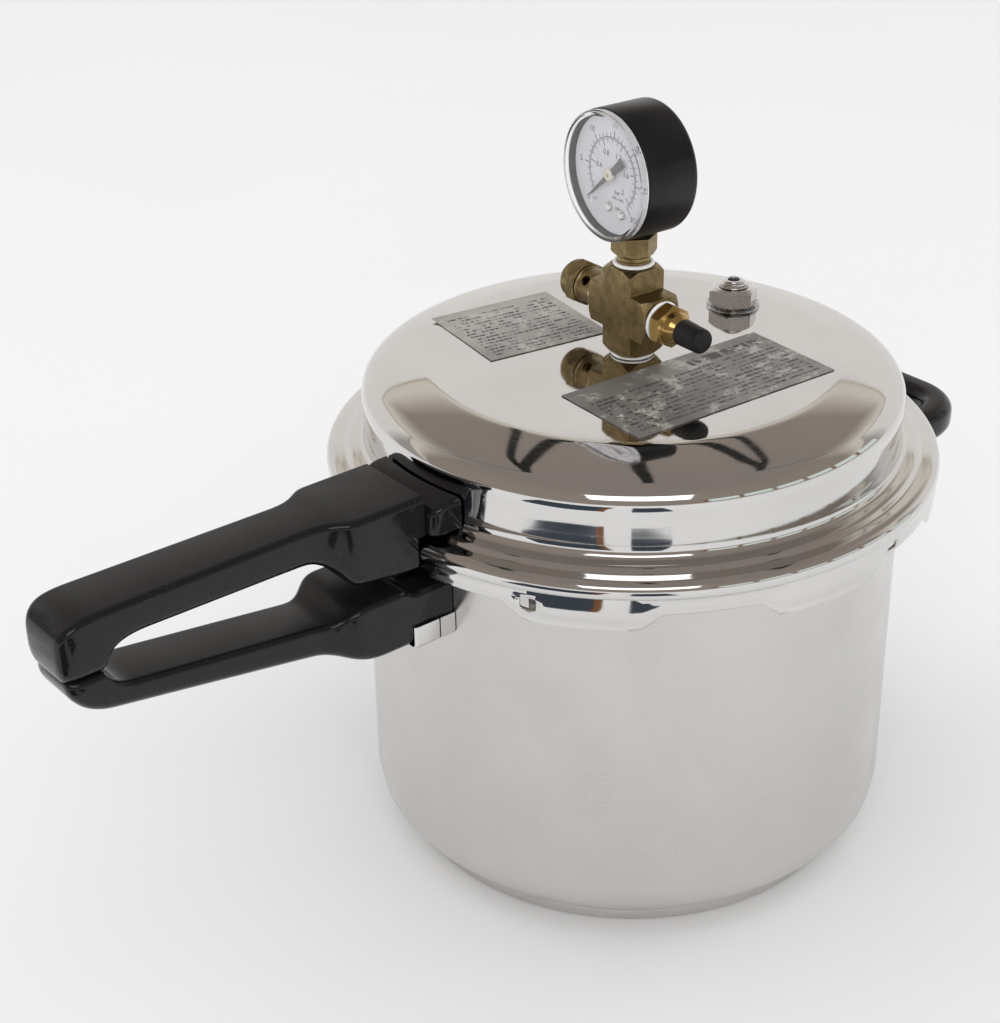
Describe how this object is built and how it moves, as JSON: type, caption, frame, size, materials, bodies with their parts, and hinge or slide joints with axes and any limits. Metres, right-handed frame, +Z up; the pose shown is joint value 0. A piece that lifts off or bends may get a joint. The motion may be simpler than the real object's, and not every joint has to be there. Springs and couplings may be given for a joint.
{
  "type": "pressure canner",
  "caption": "Steel pressure pot with a turning bayonet lid, long paired handles, a helper handle and a brass cross that carries a dial gauge, a relief valve and an air inlet valve.",
  "frame": {"origin": "centre of the pot's underside, on the surface it stands on", "axes": "+Z up, along the pot's axis; the long handles point along -X and the helper handle along +X"},
  "size_m": [0.4338, 0.2518, 0.3165],
  "materials": {
    "pot_steel": "polished stainless steel with a soft haze",
    "lid_steel": "mirror polished stainless steel",
    "plain_steel": "turned or pressed steel",
    "core_aluminium": "bare",
    "phenolic": "moulded, glossy with a satin top",
    "seal_rubber": "smooth",
    "cap_rubber": "matte",
    "clear_rubber": "translucent",
    "dull_brass": "dull, browned",
    "bright_brass": "turned",
    "white_tape": "wound sealing tape",
    "case_black": "black, satin",
    "clear_cup": "clear",
    "dial_white": "matte print",
    "pointer_grey": "satin",
    "foil": "printed foil, worn"
  },
  "bodies": {
    "pot": {"base_cap": "pot_steel", "base_core": "core_aluminium", "pot_body": "pot_steel", "pot_handle_bracket": "plain_steel", "lower_handle": "phenolic", "flame_guard": "pot_steel", "lower_handle_screw": "plain_steel", "helper_bracket": "plain_steel", "helper_handle": "phenolic", "helper_screw_front": "plain_steel", "helper_screw_rear": "plain_steel"},
    "lid": {"lid_shell": "lid_steel", "lid_gasket": "seal_rubber", "lid_handle_bracket": "plain_steel", "handle_guard": "phenolic", "upper_handle": "phenolic", "upper_handle_screw_inner": "plain_steel", "upper_handle_screw_outer": "plain_steel", "label_rear": "foil", "label_front": "foil", "vent_fitting": "plain_steel", "vent_nut": "plain_steel", "vent_washer": "clear_rubber", "vent_lock_nut": "plain_steel", "cross_seal": "white_tape", "cross_body": "dull_brass", "cross_nipple": "dull_brass", "lid_washer": "seal_rubber", "lid_lock_nut": "dull_brass", "gauge_tape": "white_tape", "gauge_socket": "dull_brass", "gauge_case": "case_black", "gauge_lens": "clear_cup", "gauge_dial": "dial_white", "pointer_stop_pin": "plain_steel", "dial_screw_left": "plain_steel", "dial_screw_right": "plain_steel", "movement_plate": "bright_brass", "bourdon_tube": "bright_brass", "relief_body": "dull_brass", "relief_cap": "dull_brass", "relief_spring": "plain_steel", "inlet_tape": "white_tape", "inlet_body": "bright_brass", "inlet_core": "bright_brass", "inlet_spring": "plain_steel"},
    "pointer": {"gauge_pointer": "pointer_grey", "pointer_arbor": "bright_brass"},
    "sector": {"sector_gear": "bright_brass"},
    "relief_stem": {"relief_stem": "bright_brass", "relief_seal": "seal_rubber"},
    "inlet_pin": {"inlet_pin": "plain_steel"},
    "dust_cap": {"dust_cap": "cap_rubber"}
  },
  "joints": [
    {"name": "lid_turn", "type": "hinge", "parent": "pot", "child": "lid", "pos_m": [0, 0, 0.165], "axis": [0, 0, 1], "range_deg": [0, 22.5]},
    {"name": "pointer_turn", "type": "hinge", "parent": "lid", "child": "pointer", "pos_m": [0, 0, 0.2905], "axis": [0.9962, -0.0872, 0], "range_deg": [0, 270], "stiffness_Nm_per_rad": 0.0004, "springref_deg": -17.19},
    {"name": "sector_turn", "type": "hinge", "parent": "lid", "child": "sector", "pos_m": [0.0007, 0.00797, 0.2905], "axis": [0.9962, -0.0872, 0], "range_deg": [-33.75, 0]},
    {"name": "relief_lift", "type": "slide", "parent": "lid", "child": "relief_stem", "axis": [0.0872, 0.9962, 0], "range_m": [0, 0.0022], "stiffness_N_per_m": 2000, "springref_m": -0.003},
    {"name": "inlet_press", "type": "slide", "parent": "lid", "child": "inlet_pin", "axis": [0.0872, 0.9962, 0], "range_m": [0, 0.0012], "stiffness_N_per_m": 500, "springref_m": -0.002},
    {"name": "dust_cap_off", "type": "slide", "parent": "lid", "child": "dust_cap", "axis": [-0.0872, -0.9962, 0], "range_m": [0, 0.012]}
  ],
  "couplings": [
    {"joint": "sector_turn", "follows": "pointer_turn", "ratio": -0.125}
  ]
}
